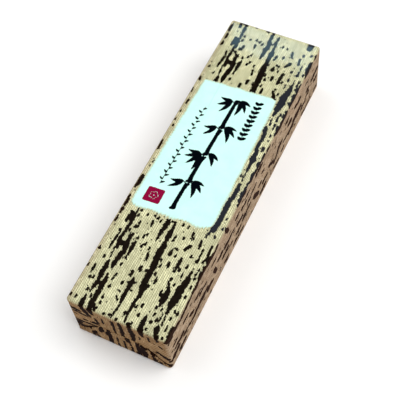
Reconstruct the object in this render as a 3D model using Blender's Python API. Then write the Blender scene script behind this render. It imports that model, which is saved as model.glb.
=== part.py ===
"""A wrapped bar of yokan: a carton in sheath-print paper with folded ends, and a torn paper label on its top.

The pack lies on its underside. X runs across it, Y along it with the near end at -Y, and Z up from the
surface that it rests on. The origin is the middle of the underside. Lengths are in metres.
"""

import math

import bmesh
import bpy

# The pack, over the paper.
PACK_WIDTH = 0.0587
PACK_HEIGHT = 0.0376
PACK_LENGTH = 0.210
LONG_EDGE_ROUND = 0.0012
END_EDGE_ROUND = 0.0018

# The folded ends: the side flaps lie undermost, the top flap over them, the bottom flap outermost.
FOLD_PLY = 0.0003
PLIES_OVER_END = {"side": 0, "top": 1, "bottom": 2}
FOLD_ROLL = 0.00035

# How finely the pack's rounds and flaps are stepped.
EDGE_ARC_STEPS = 3
END_BEND_STEPS = 4
FLAP_RINGS = 5
PANEL_STEPS = 6
ROLL_STEPS = (0.0, 0.3, 1.0)

# The label on the top face, seen from above: a parallelogram, its short edges rising to the right.
LABEL_WIDTH = 0.046
LABEL_LENGTH = 0.095
LABEL_THICKNESS = 0.0003
LABEL_CLEARANCE = 0.0003
LABEL_MIDDLE_X = -0.0018
LABEL_MIDDLE_Y = 0.0082
LABEL_SLANT = math.radians(4.3)
LABEL_TURN = math.radians(0.4)

# Its torn edges: how far the tear wanders on each pair of edges, and the waves that it is the sum of,
# each as the number of waves along the edge and its share of the wander.
SHORT_EDGE_WANDER = 0.0006
LONG_EDGE_WANDER = 0.00025
TEAR_WAVES = ((2.2, 0.5), (5.3, 0.35), (11.0, 0.3))
TEAR_FADE = 6.0
TEAR_STEP = 0.0012
LABEL_CORNER = 0.0016
CORNER_STEPS = 3


def clear_scene():
    for thing in list(bpy.data.objects):
        bpy.data.objects.remove(thing, do_unlink=True)


def plain_material(name, colour, roughness):
    """A Principled BSDF with one colour, for the solids."""
    material = bpy.data.materials.new(name)
    material.use_nodes = True
    shader = material.node_tree.nodes["Principled BSDF"]
    shader.inputs["Base Color"].default_value = (*colour, 1.0)
    shader.inputs["Roughness"].default_value = roughness
    shader.inputs["Metallic"].default_value = 0.0
    material.diffuse_color = (*colour, 1.0)
    return material


def add_object(name, shape, material):
    """Closes a bmesh into a named object, smooth on its rounds and sharp at its folds."""
    bmesh.ops.recalc_face_normals(shape, faces=shape.faces)
    mesh = bpy.data.meshes.new(name)
    shape.to_mesh(mesh)
    shape.free()
    mesh.materials.append(material)
    mesh.shade_smooth()
    mesh.set_sharp_from_angle(angle=math.radians(35.0))
    piece = bpy.data.objects.new(name, mesh)
    bpy.context.scene.collection.objects.link(piece)
    return piece


def roll_height(distance):
    """The share of its full ply that a folded edge has risen to: a quarter circle over FOLD_ROLL."""
    rest = 1.0 - min(distance / FOLD_ROLL, 1.0)
    return math.sqrt(1.0 - rest * rest)


def panel_points(half_run):
    """Places along one panel from -half_run to half_run, close together by the fold at each end."""
    roll = min(FOLD_ROLL, 0.6 * half_run)
    inner = half_run - roll
    first = [roll * share - half_run for share in ROLL_STEPS]
    between = [2.0 * inner * i / PANEL_STEPS - inner for i in range(1, PANEL_STEPS)]
    return first + between + [-place for place in reversed(first)]


def section_ring(inset, plane_y, outward):
    """The pack's outline drawn in by inset, as points with the relief of the folds on them.

    It runs right, top, left, bottom: each panel is a straight run, and each corner an arc that
    shrinks to a point as the outline draws in. outward is 0 along the pack and 1 on its end face.
    """
    half_width = PACK_WIDTH / 2.0 - inset
    half_height = PACK_HEIGHT / 2.0 - inset
    corner = max(LONG_EDGE_ROUND - inset, 0.0)
    end_side = math.copysign(1.0, plane_y)
    panels = (
        ("side", (1.0, 0.0), (0.0, 1.0), half_width, half_height),
        ("top", (0.0, 1.0), (-1.0, 0.0), half_height, half_width),
        ("side", (-1.0, 0.0), (0.0, -1.0), half_width, half_height),
        ("bottom", (0.0, -1.0), (1.0, 0.0), half_height, half_width),
    )
    points = []
    for flap, facing, along, reach, run in panels:
        straight = run - corner
        full_rise = PLIES_OVER_END[flap] * FOLD_PLY * outward
        stations = [
            (reach, place, full_rise * roll_height(straight - abs(place))) for place in panel_points(straight)
        ]
        for step in range(1, EDGE_ARC_STEPS):
            turn = 0.5 * math.pi * step / EDGE_ARC_STEPS
            out = reach - corner + corner * math.cos(turn)
            stations.append((out, straight + corner * math.sin(turn), 0.0))
        points += [
            (
                facing[0] * out + along[0] * place,
                plane_y + end_side * rise,
                PACK_HEIGHT / 2.0 + facing[1] * out + along[1] * place,
            )
            for out, place, rise in stations
        ]
    return points


def end_rings(end_side):
    """The rings from the straight wrap, over the rounded edge, to the middle of one end face."""
    face_y = PACK_LENGTH / 2.0 - max(PLIES_OVER_END.values()) * FOLD_PLY
    rings = []
    for step in range(END_BEND_STEPS + 1):
        turn = 0.5 * math.pi * step / END_BEND_STEPS
        inset = END_EDGE_ROUND * (1.0 - math.cos(turn))
        plane_y = face_y - END_EDGE_ROUND * (1.0 - math.sin(turn))
        rings.append(section_ring(inset, end_side * plane_y, math.sin(turn)))
    flat_run = PACK_HEIGHT / 2.0 - END_EDGE_ROUND
    for step in range(1, FLAP_RINGS + 1):
        inset = END_EDGE_ROUND + flat_run * step / FLAP_RINGS
        rings.append(section_ring(inset, end_side * face_y, 1.0))
    return rings


def close_end(shape, ring):
    """Closes the last ring on its ridge line, where the bottom flap's free edge stands over the top flap."""
    run = len(panel_points(1.0))
    per_panel = run + EDGE_ARC_STEPS - 1
    top = ring[per_panel:per_panel + run]
    bottom = ring[3 * per_panel:3 * per_panel + run][::-1]
    for i in range(run - 1):
        shape.faces.new((top[i], top[i + 1], bottom[i + 1], bottom[i]))


def build_pack():
    """The paper-wrapped carton as one closed solid, ring by ring from the near end to the far end."""
    shape = bmesh.new()
    outlines = end_rings(-1.0)[::-1] + end_rings(1.0)
    rings = [[shape.verts.new(point) for point in outline] for outline in outlines]
    for ring, after in zip(rings, rings[1:]):
        for i in range(len(ring)):
            j = (i + 1) % len(ring)
            shape.faces.new((ring[i], ring[j], after[j], after[i]))
    close_end(shape, rings[0])
    close_end(shape, rings[-1])
    bmesh.ops.remove_doubles(shape, verts=shape.verts, dist=1e-7)
    bmesh.ops.dissolve_degenerate(shape, edges=shape.edges, dist=1e-7)
    return add_object("wrapped_pack", shape, plain_material("sheath_print_paper", (0.60, 0.52, 0.31), 0.45))


def step_along(start, end):
    """The distance from start to end, and the unit step that way."""
    run = math.hypot(end[0] - start[0], end[1] - start[1])
    return run, ((end[0] - start[0]) / run, (end[1] - start[1]) / run)


def torn_edge(start, end, wander, phase):
    """Points from start up to end, moved sideways by the tear's waves, which fade out towards both."""
    run, ahead = step_along(start, end)
    count = round(run / TEAR_STEP)
    points = []
    for i in range(count):
        share = i / count
        fade = min(1.0, TEAR_FADE * share, TEAR_FADE * (1.0 - share))
        wave = sum(
            size * math.sin(math.tau * waves * share + phase * (k + 1))
            for k, (waves, size) in enumerate(TEAR_WAVES)
        )
        off = wander * wave * fade
        points.append((
            start[0] + ahead[0] * run * share + ahead[1] * off,
            start[1] + ahead[1] * run * share - ahead[0] * off,
        ))
    return points


def rounded_corner(corner, coming, going):
    """Points round one corner of the label, from the edge that comes in to the edge that goes out."""
    points = []
    for i in range(CORNER_STEPS):
        turn = 0.5 * math.pi * i / CORNER_STEPS
        short = LABEL_CORNER * (1.0 - math.sin(turn))
        past = LABEL_CORNER * (1.0 - math.cos(turn))
        points.append((
            corner[0] - coming[0] * short + going[0] * past,
            corner[1] - coming[1] * short + going[1] * past,
        ))
    return points


def label_outline():
    """The label's torn outline on the pack's top, anticlockwise from its near left corner."""
    half_width = LABEL_WIDTH / 2.0
    half_length = LABEL_LENGTH / 2.0
    rise = half_width * math.tan(LABEL_SLANT)
    corners = (
        (-half_width, -half_length - rise),
        (half_width, -half_length + rise),
        (half_width, half_length + rise),
        (-half_width, half_length - rise),
    )
    points = []
    for i, corner in enumerate(corners):
        after = corners[(i + 1) % 4]
        _, ahead = step_along(corner, after)
        _, onward = step_along(after, corners[(i + 2) % 4])
        start = (corner[0] + ahead[0] * LABEL_CORNER, corner[1] + ahead[1] * LABEL_CORNER)
        end = (after[0] - ahead[0] * LABEL_CORNER, after[1] - ahead[1] * LABEL_CORNER)
        points += torn_edge(start, end, SHORT_EDGE_WANDER if i % 2 == 0 else LONG_EDGE_WANDER, 1.0 + i)
        points += rounded_corner(after, ahead, onward)
    across, along = math.cos(LABEL_TURN), math.sin(LABEL_TURN)
    return [
        (LABEL_MIDDLE_X + x * across - y * along, LABEL_MIDDLE_Y + x * along + y * across) for x, y in points
    ]


def build_label():
    """The torn paper label: its outline filled and drawn up to its thickness, just clear of the wrap."""
    shape = bmesh.new()
    low = PACK_HEIGHT + LABEL_CLEARANCE
    face = shape.faces.new([shape.verts.new((x, y, low)) for x, y in label_outline()])
    raised = bmesh.ops.extrude_face_region(shape, geom=[face])
    top = [part for part in raised["geom"] if isinstance(part, bmesh.types.BMVert)]
    bmesh.ops.translate(shape, verts=top, vec=(0.0, 0.0, LABEL_THICKNESS))
    return add_object("torn_label", shape, plain_material("torn_washi", (0.75, 0.92, 0.87), 0.85))


clear_scene()
build_pack()
build_label()
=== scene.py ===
"""Looks of a wrapped bar of yokan: its bamboo-sheath print paper and the torn washi label on its top."""

import math
from functools import partial

import bpy
import numpy as np
from mathutils import Matrix, Quaternion, Vector


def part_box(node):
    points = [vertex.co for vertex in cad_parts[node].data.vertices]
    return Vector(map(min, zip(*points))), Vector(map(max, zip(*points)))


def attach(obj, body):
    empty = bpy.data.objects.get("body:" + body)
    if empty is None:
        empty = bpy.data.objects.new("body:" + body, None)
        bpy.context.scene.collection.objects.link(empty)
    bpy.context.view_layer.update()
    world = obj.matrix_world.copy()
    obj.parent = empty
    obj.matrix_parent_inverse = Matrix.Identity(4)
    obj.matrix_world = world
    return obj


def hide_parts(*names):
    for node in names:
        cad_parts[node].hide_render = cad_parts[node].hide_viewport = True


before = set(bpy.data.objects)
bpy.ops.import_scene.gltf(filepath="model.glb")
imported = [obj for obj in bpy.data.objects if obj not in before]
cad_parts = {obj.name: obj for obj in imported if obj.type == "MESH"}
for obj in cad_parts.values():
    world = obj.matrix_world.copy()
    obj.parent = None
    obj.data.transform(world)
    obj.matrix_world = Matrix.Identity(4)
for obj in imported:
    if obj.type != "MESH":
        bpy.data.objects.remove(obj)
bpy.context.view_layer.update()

# Studio: a pale painted floor under soft light. The pack is seen from its near right, well above.
# The key panel hangs behind the right side, so that the near end lies in the shade. A small cool window
# panel stands past the far end: it lights nothing, and is only mirrored in the varnish on the top.
CAMERA_PLACE = (0.1400, -0.2345, 0.4476)
CAMERA_AIM = (0.0030, -0.0128, 0.0188)
CAMERA_ROLL = math.radians(7.06)
CAMERA_LENS_MM = 78.8
SENSOR_MM = 36.0
NEAREST_SEEN = 0.01
FLOOR_SIDE = 3.0
# Each light's place, the point that it faces, its width and height, its watts and its colour.
LIGHTS = {
    "key_panel": ((0.60, 0.10, 1.25), (0.0, 0.0, 0.0), 1.20, 1.20, 17.2, "FBFDFF"),
    "fill_panel": ((-0.80, 0.10, 0.90), (0.0, 0.0, 0.0), 1.20, 1.20, 4.4, "F6FCFF"),
    "window_panel": ((-0.345, 1.01, 1.165), (-0.345, 0.0, 1.165), 0.29, 0.16, 8.3, "A4DAF6"),
}
WORLD_COLOUR = "FCFBFC"
WORLD_STRENGTH = 0.385
FLOOR_COLOUR = "FCFAF7"


def linear(hex_colour):
    """An sRGB hex colour as linear red, green, blue and alpha: the sRGB curve, undone."""
    parts = np.array([int(hex_colour[i:i + 2], 16) for i in (0, 2, 4)]) / 255.0
    out = np.where(parts <= 0.04045, parts / 12.92, ((parts + 0.055) / 1.055) ** 2.4)
    return (*out.tolist(), 1.0)


camera_data = bpy.data.cameras.new("camera")
camera_data.lens = CAMERA_LENS_MM
camera_data.sensor_width = SENSOR_MM
camera_data.clip_start = NEAREST_SEEN
camera = bpy.data.objects.new("camera", camera_data)
level = (Vector(CAMERA_AIM) - Vector(CAMERA_PLACE)).to_track_quat("-Z", "Y")
rolled = level @ Quaternion((0.0, 0.0, 1.0), -CAMERA_ROLL)
camera.matrix_world = Matrix.Translation(CAMERA_PLACE) @ rolled.to_matrix().to_4x4()
bpy.context.scene.collection.objects.link(camera)
bpy.context.scene.camera = camera

for name, (place, aim, width, height, watts, colour) in LIGHTS.items():
    lamp_data = bpy.data.lights.new(name, "AREA")
    lamp_data.shape = "RECTANGLE"
    lamp_data.size = width
    lamp_data.size_y = height
    lamp_data.energy = watts
    lamp_data.color = linear(colour)[:3]
    lamp = bpy.data.objects.new(name, lamp_data)
    lamp.location = place
    lamp.rotation_euler = (Vector(aim) - Vector(place)).to_track_quat("-Z", "Y").to_euler()
    lamp.visible_diffuse = name != "window_panel"
    bpy.context.scene.collection.objects.link(lamp)

world = bpy.data.worlds.new("studio")
world.use_nodes = True
world.node_tree.nodes["Background"].inputs["Color"].default_value = linear(WORLD_COLOUR)
world.node_tree.nodes["Background"].inputs["Strength"].default_value = WORLD_STRENGTH
bpy.context.scene.world = world
bpy.context.scene.view_settings.view_transform = "Standard"

floor_paint = bpy.data.materials.new("matt_painted_floor")
floor_paint.use_nodes = True
floor_shader = floor_paint.node_tree.nodes["Principled BSDF"]
floor_shader.inputs["Base Color"].default_value = linear(FLOOR_COLOUR)
floor_shader.inputs["Roughness"].default_value = 0.9
edge = FLOOR_SIDE / 2.0
floor_mesh = bpy.data.meshes.new("floor")
floor_mesh.from_pydata([(-edge, -edge, 0.0), (edge, -edge, 0.0), (edge, edge, 0.0), (-edge, edge, 0.0)], [],
                       [(0, 1, 2, 3)])
floor_mesh.materials.append(floor_paint)
floor = bpy.data.objects.new("floor", floor_mesh)
bpy.context.scene.collection.objects.link(floor)


# Wrap: one sheet of paper, offset printed like the dried sheath of a bamboo shoot and varnished.
# It goes once round the carton, glued in a lap underneath, and its ends are folded in: the side flaps first,
# then the top flap, then the bottom flap over both. Lengths in this section are in mm.
# A place on the sheet is across, from the pack's top left edge to the right, down, and on round, and along,
# from the far end to the near one. Both run on over the folds.
MM = 0.001
pack_low, pack_high = (np.array(corner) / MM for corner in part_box("wrapped_pack"))
PACK_WIDTH, PACK_LENGTH, PACK_HEIGHT = pack_high - pack_low
HALF_WIDTH, HALF_HEIGHT = PACK_WIDTH / 2.0, PACK_HEIGHT / 2.0
LONG_EDGE_ROUND = 1.2
END_EDGE_ROUND = 1.8
# On an end, the top flap lies one ply over the side flaps, and the bottom flap two. Their edges roll down.
PLY = 0.3
PLIES_OUT = 2
FOLD_ROLL = 0.35
END_FACE = PACK_LENGTH / 2.0 - PLIES_OUT * PLY
# Where the underside starts on the sheet, how far the sheet goes round, and how its print repeats along it.
BOTTOM_START = PACK_WIDTH + PACK_HEIGHT
SHEET_ROUND = 2.0 * BOTTOM_START
SHEET_REPEAT = 135.4
REPEAT_DRIFT = 0.8

# The print's marks, as brush strokes through points of across, along and half width. They are read off
# as the sheath's dark blotches. These are on the near part of the top; one repeat of the print further
# up the sheet, they come again.
TOP_STROKES = (
    ((9.8, 144.6, 0.4), (9.8, 149, 0.5)), ((7.2, 149, 1.1), (8.6, 150.5, 1.9), (8.2, 152.6, 1.9)),
    ((7.2, 152, 1.1), (6.8, 155.4, 0.7)),
    ((9.7, 151, 1), (9.8, 156, 1), (9.5, 158, 0.8), (9.4, 162, 0.8), (9, 166.8, 0.8)),
    ((7.1, 163, 0.5), (6.6, 168, 0.8), (6.2, 174, 0.4)), ((9.8, 167.2, 1.1), (9.9, 171.6, 1.1)),
    ((9.8, 168.2, 1.5), (14.2, 168.4, 1.7)),
    ((13.6, 163, 0.9), (13.8, 167, 1.2), (14.6, 171, 1.2), (14.6, 174, 1.1), (13.9, 178, 0.9)),
    ((12.8, 161, 0.3), (13, 164, 0.5)), ((8.9, 172.4, 0.4), (9.6, 178.6, 0.4)),
    ((13.8, 174, 1.2), (13.5, 178, 1.1), (13.3, 181, 1.4), (13.7, 184.5, 0.3)),
    ((17.5, 166.8, 1.1), (17.6, 170, 1), (17.9, 173.6, 0.4)),
    ((20.8, 149.9, 0.7), (20.9, 150.8, 0.7), (21, 153.5, 0.3)),
    ((10, 180.4, 0.6), (10, 184, 1.3), (10, 188, 1.4), (10.2, 191, 1.2), (10.3, 193.5, 0.8),
     (10, 196, 1.1), (9.5, 200, 0.4)),
    ((10.4, 194.2, 0.6), (13.3, 193.6, 0.7)),
    ((13.2, 187.4, 0.4), (13.8, 191, 1.2), (13.5, 195, 1.5), (13.6, 200, 1.4), (13.5, 205, 1.5),
     (14, 210, 1.7), (14.6, 215, 1.2)),
    ((15, 205.5, 0.5), (16.6, 209.5, 0.8)),
    ((8.7, 202.4, 0.3), (8.7, 206.5, 1.3), (8.9, 210, 1.4), (10.4, 215, 1.9), (12.5, 220, 1.2)),
    ((27.4, 145.8, 0.5), (32.6, 145.7, 0.5)),
    ((28.6, 146, 1.2), (28.2, 150, 1.6), (27.9, 153, 1.1), (27.7, 158.6, 0.6)),
    ((32.5, 146, 0.5), (32.6, 150, 0.8), (32.7, 152.5, 1.6), (32.7, 155.5, 1.5), (32.7, 158, 1),
     (32.7, 162, 1), (32.7, 164, 1.8), (32.9, 169, 1.9), (33.5, 173, 1.8), (33.6, 178, 1.6),
     (33.6, 183, 1.7), (33.9, 187, 1.8), (34.4, 189.5, 1.3), (34.8, 192, 1), (33.9, 195, 0.9),
     (33.8, 200, 0.7), (33.8, 203, 0.8), (33.9, 206, 0.6), (34.8, 209.5, 0.5)),
    ((27.4, 168.3, 0.6), (28.1, 172.2, 0.6)), ((27.8, 176.8, 0.9), (27.8, 179, 0.9)),
    ((24.7, 181, 0.9), (24.6, 183.8, 0.6)),
    ((27.3, 184, 0.4), (27.3, 187, 1.4), (27.2, 190.5, 1.3), (27.2, 193, 0.9), (27.2, 196, 1.3),
     (27.2, 198.4, 0.9)),
    ((25, 187.4, 0.3), (27, 188, 0.8), (29.6, 185.8, 0.3)), ((29.4, 191.2, 0.4), (27.5, 190.8, 0.8)),
    ((27, 205.2, 0.5), (27, 207.2, 0.5)), ((22.2, 193.6, 0.4), (24.7, 194.2, 0.5)),
    ((23.6, 197, 0.4), (25.3, 199.2, 0.5)),
    ((44.4, 147, 0.6), (44.5, 149.5, 0.6), (45.9, 150.6, 0.4), (45.4, 151.7, 0.3), (44.2, 151.3, 0.3)),
    ((40.8, 152.1, 0.7), (40.8, 153, 0.7)), ((46.2, 155.6, 1.1), (44.4, 158.8, 0.8)),
    ((39.2, 159.6, 0.6), (40.8, 160, 0.7)), ((38.4, 161.4, 0.5), (38.1, 164, 1.2)),
    ((45.4, 164.2, 0.9), (45.1, 168, 0.9), (45, 172.4, 0.8)), ((50, 166, 0.5), (50, 168, 0.7)),
    ((40.5, 168.9, 0.9), (40.5, 171.4, 0.7)), ((49.8, 170.6, 0.3), (49.9, 174.4, 0.3)),
    ((38.4, 179.2, 0.5), (38.4, 182.4, 0.8)), ((36.3, 184.9, 0.7), (35.9, 187.4, 0.5)),
    ((44.8, 178.6, 0.6), (46.5, 181.5, 0.9), (47.5, 184, 1.3), (47, 187, 1.8), (46.9, 190, 1.6),
     (47, 192.8, 0.6)),
    ((44.2, 184.8, 0.5), (44.3, 187.4, 0.7)),
    ((53.5, 169.6, 0.4), (53.8, 174, 1.6), (53, 178, 1.8), (52.5, 181, 2.2), (53, 184, 2),
     (52.6, 187, 2.2), (52.2, 190, 1.8), (52.5, 192, 1), (52, 194.8, 0.8)),
    ((50.6, 196.6, 0.3), (50.3, 201.4, 0.4)), ((52.2, 196.6, 0.3), (52.8, 202, 0.5)),
    ((51.5, 203.2, 0.6), (51.5, 205, 1.6), (52.2, 208, 0.9), (52.3, 212, 0.5)),
    ((43.3, 199.8, 0.4), (43.3, 203, 1), (43.3, 206.5, 1.3), (43.5, 210, 1.4), (44.3, 216, 0.7)),
    ((50.4, 150.5, 0.8), (51.1, 154.6, 0.7)), ((53.6, 154, 0.4), (53.6, 160, 0.4), (53.5, 162.4, 1.1)),
    ((57, 151, 0.5), (57.3, 157, 0.7), (58.5, 160.5, 0.8)), ((53.7, 166.8, 0.3), (53.7, 169.2, 0.3)),
    ((58.2, 167, 0.5), (58.2, 170.5, 0.5)), ((55.8, 201, 0.4), (55.8, 204.2, 0.4)),
    ((58.4, 200.5, 0.5), (58.4, 207, 0.6)), ((4.4, 185.2, 0.4), (4.4, 187.6, 0.9), (4.4, 190.4, 0.3)),
    ((1.3, 148.3, 0.7), (1.3, 151.6, 0.7)), ((1.3, 154.2, 0.5), (1.1, 157.5, 0.6)),
)
TOP_SPOTS = (
    (17.6, 161.8), (17.9, 165), (17.4, 174.8), (17.2, 179.6), (17.5, 186.2), (16.9, 189), (17.4, 193.2),
    (17.2, 199.8), (17.6, 203.5), (17.2, 207), (1.5, 175.2), (0.7, 186.7), (0.9, 205.4), (3.8, 205.5),
    (6.3, 179), (7, 192), (5.2, 192.8), (7.5, 199.5), (6.4, 161.4), (11.7, 145.8), (11.6, 149.3),
    (14.3, 153.3), (14.3, 156), (13, 156.3), (11.6, 159.5), (14.4, 161.3), (16.2, 147), (20.2, 146),
    (22.5, 146.6), (24.4, 147.8), (20.4, 160), (21.7, 158), (22, 165.7), (23.3, 163.7), (26.5, 165.5),
    (22.8, 189), (11, 202), (34.2, 161), (35.5, 169), (31.2, 177.7), (27.5, 201), (27.4, 203),
    (22.3, 208.8), (25.2, 208), (26.5, 208.5), (29.4, 209.3), (37.1, 145), (40.2, 145.3), (36, 155.7),
    (36.5, 153.3), (41.5, 163.6), (49.4, 160.8), (47.1, 170.4), (45.5, 177), (36.5, 177.3),
    (36.7, 172.2), (48.5, 179.3), (39.1, 201.6), (38.6, 196.2), (36, 198), (32, 203.6), (38, 207.3),
    (46.4, 207.3), (46.9, 202.6), (45.7, 194.2), (48.8, 194.4), (46.6, 198.2), (48.8, 200.6),
    (51.3, 146.6), (55.8, 145), (56.7, 160.8), (56.5, 166.2), (56.4, 169), (56.7, 172), (57, 177),
    (56.8, 183.2), (55.9, 192.5), (57.5, 192.8), (55.3, 197), (56.2, 208.4),
)
# These are beside the label and at the far edge.
BESIDE_STROKES = (
    ((1.4, 142, 0.9), (1.3, 145.6, 0.8)), ((1.1, 138.6, 0.6), (1.2, 144, 0.7)),
    ((0.9, 98.6, 0.4), (1.1, 101, 0.5), (1.2, 105, 0.7)),
    ((1.8, 125, 1.1), (1.9, 129, 1.4), (1, 132.8, 0.6)), ((0.7, 57.8, 0.4), (0.8, 60.4, 0.5)),
    ((1.1, 48.4, 0.6), (1.2, 50, 0.6)), ((1.9, 67.2, 0.6), (1.8, 68.5, 0.6)),
    ((1, 74.4, 0.3), (1.3, 76.6, 0.5)), ((53.6, 72, 0.9), (53.6, 78, 1)),
    ((53.2, 78, 0.8), (53.3, 84, 0.8)),
    ((54.2, 84.6, 1), (54.2, 88.5, 1.2), (54.4, 91, 2), (54.3, 93, 1), (54.3, 99, 0.6)),
    ((54.5, 100, 0.4), (54.4, 106, 0.4)), ((54.5, 108.5, 0.8), (54.6, 113, 1.3), (54.4, 118.5, 1.2)),
    ((53.8, 119.6, 1.2), (53.8, 125.8, 1.5)),
    ((53.8, 128.4, 1.6), (53.6, 136, 1.7), (53.2, 140.8, 1.6)), ((52.3, 141.5, 0.8), (52.1, 144, 0.7)),
    ((58.4, 64, 0.5), (58.4, 67.5, 0.5)), ((58.4, 106, 0.5), (58.4, 119, 0.6)),
    ((56.7, 81.6, 0.9), (56.7, 83.4, 0.9)), ((6.5, -3, 0.7), (6.5, 0.5, 1), (6.6, 4, 0.7)),
    ((10, -7, 0.8), (10, 0.5, 1), (10.2, 4.6, 0.9), (10.1, 11, 0.4)),
    ((28.2, -9, 0.7), (28.5, -1, 0.9), (28.5, 5.5, 1), (28.5, 9, 0.8)),
    ((32.8, 2.7, 0.6), (32.8, 8.6, 0.9)), ((53, -5, 0.9), (53.4, -1, 1.8), (53.4, 4, 1.8)),
    ((1.8, 2.7, 0.5), (1.4, 6, 0.8), (1.5, 9.3, 0.7)),
)
BESIDE_SPOTS = (
    (55.8, 58.4), (56.3, 64), (57.2, 75.7), (52.6, 103), (57, 131.5), (57.7, 138), (2.7, 113.7),
    (2, 117.5), (1.8, 86.8), (1, 82),
)
# These are on the right side, as down from its top edge, along and half width.
SIDE_STROKES = (
    ((1, 8, 0.8), (1.2, 10.5, 0.8)), ((0.6, 15, 1), (1, 20, 1.3), (0.8, 25, 1)),
    ((0.6, 37, 1), (0.9, 43, 1.2), (0.8, 49, 0.9)),
    ((1.6, 54, 1.2), (2.4, 59, 1.9), (2.2, 65, 1.6), (1.2, 70, 0.8)), ((1.7, 78.5, 1), (1.9, 82, 1)),
    ((5, 89, 1), (5.2, 93, 1.3), (5, 97.5, 1.1)), ((0.9, 86, 0.8), (0.9, 95, 1), (0.7, 106, 0.9)),
    ((7.2, 106, 0.8), (7.2, 110, 0.8)), ((0.8, 112, 0.8), (0.9, 122, 0.9)),
    ((1.6, 138.4, 1), (4.4, 136.8, 1.2), (7.4, 135.2, 0.8)),
    ((2, 149, 1.3), (2.6, 154, 1.8), (1.6, 160, 1.4)),
    ((1.2, 164, 1.4), (1.6, 172, 1.7), (2, 180, 1.8), (2.6, 187, 1.4)),
    ((3.6, 189, 1.3), (4.4, 194, 1.3), (4, 199, 1.3)),
    ((3.5, 197, 1.5), (2.4, 203, 2), (1.6, 211, 1.8)), ((6.5, 204, 0.8), (6.8, 208, 0.8)),
    ((15.3, 4, 1.3), (15.8, 10.5, 1.4)), ((17, 11, 1), (16.6, 14, 0.9)), ((10, 20, 0.6), (10, 24, 0.6)),
    ((18.5, 18.5, 1), (18.5, 21, 1)), ((23, 18, 1), (23, 21.5, 1)),
    ((12.6, 32, 1.1), (13, 36, 1.3), (12, 40.5, 1)), ((17.6, 46.6, 1.4), (16.8, 50, 1.3)),
    ((10.5, 50, 0.9), (10.6, 54.5, 0.9)), ((14.4, 86.8, 0.7), (14.4, 89.4, 0.7)),
    ((14, 98, 0.8), (14.2, 104, 0.8)), ((16.4, 106.5, 0.7), (16.6, 109.5, 0.7)),
    ((11.6, 112.5, 0.8), (11.6, 117, 0.8)), ((9.4, 121.5, 0.9), (9.6, 125.4, 0.9)),
    ((19.4, 117.8, 1.1), (19.5, 124, 1.3)), ((17.2, 128.5, 1.2), (17.5, 134, 1.6), (17.4, 140, 1.4)),
    ((17, 144, 0.8), (17.4, 150, 0.9)), ((11, 152, 0.6), (11.2, 157, 0.6)),
    ((19.4, 154.4, 1), (24.4, 152.6, 1)), ((16, 164.6, 0.9), (16, 172, 0.9)),
    ((13.4, 173, 0.8), (13, 178, 0.8)), ((20.4, 181.6, 1.3), (17.8, 184.6, 1.3)),
    ((13, 186, 0.9), (13.2, 191, 0.9)), ((16.4, 200, 0.6), (16.6, 204, 0.6)),
    ((22.8, 4.6, 1.2), (22.8, 9, 1.2)), ((33.2, 3.5, 0.9), (33.4, 8, 0.9)),
    ((34.4, 14, 0.8), (34.4, 28, 0.8)), ((26.6, 23.6, 1.2), (26.6, 29, 1.2)),
    ((22.4, 31, 1.6), (23.2, 36, 2), (22.6, 42, 1.5)), ((26, 43.6, 1.3), (26.2, 48.5, 1.3)),
    ((25.4, 51, 0.9), (25.4, 57, 0.9)), ((31, 57, 0.8), (31, 60, 0.8)),
    ((20.8, 60, 1.2), (21.6, 65, 1.4)), ((22.5, 65, 1.6), (25.5, 68, 1.8), (27, 71.5, 1.2)),
    ((33.3, 65, 0.8), (33.3, 73, 0.8)), ((24.4, 74, 1), (21.6, 79, 1.4)), ((26, 82, 1), (26.2, 88, 1)),
    ((32.4, 85.5, 1.3), (32.4, 92, 1.3)), ((22, 91, 0.8), (22, 94, 0.8)),
    ((28.6, 95, 1.2), (25.4, 98, 1.6), (23.4, 101, 1)), ((22, 107, 1.1), (22.4, 111.5, 1.1)),
    ((24, 113, 1.1), (24.2, 116.4, 1.1)), ((26.4, 119.6, 0.9), (26.6, 125.6, 0.9)),
    ((32.6, 117, 0.8), (32.2, 130, 0.8)), ((24, 137.6, 1.2), (24, 143, 1.2)),
    ((33, 138, 0.8), (32.6, 142, 0.8)), ((25.8, 131.6, 0.6), (26.2, 135.4, 0.6)),
    ((27.2, 157.5, 1.3), (27.2, 163, 1.4)), ((24, 164, 1.5), (24.4, 171, 2), (25.2, 179, 1.5)),
    ((26.8, 179.6, 1.3), (26.6, 185.6, 1.3)), ((25.4, 187, 0.8), (25.6, 193, 0.8)),
    ((32, 193, 1.1), (32.4, 198.6, 1.1)), ((22.4, 194, 1.2), (22.8, 203, 1.4)),
    ((27, 200, 1.4), (28.4, 205, 1.7), (29, 210, 1.2)),
)
SIDE_SPOTS = (
    (10, 62), (14, 70), (8, 44), (30, 40), (10, 146), (34, 160), (34, 176), (9, 168), (9, 182),
    (29, 148), (30, 168), (20, 206), (35, 104), (6, 74), (5, 116), (12, 133), (30, 15), (9, 12),
)
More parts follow.
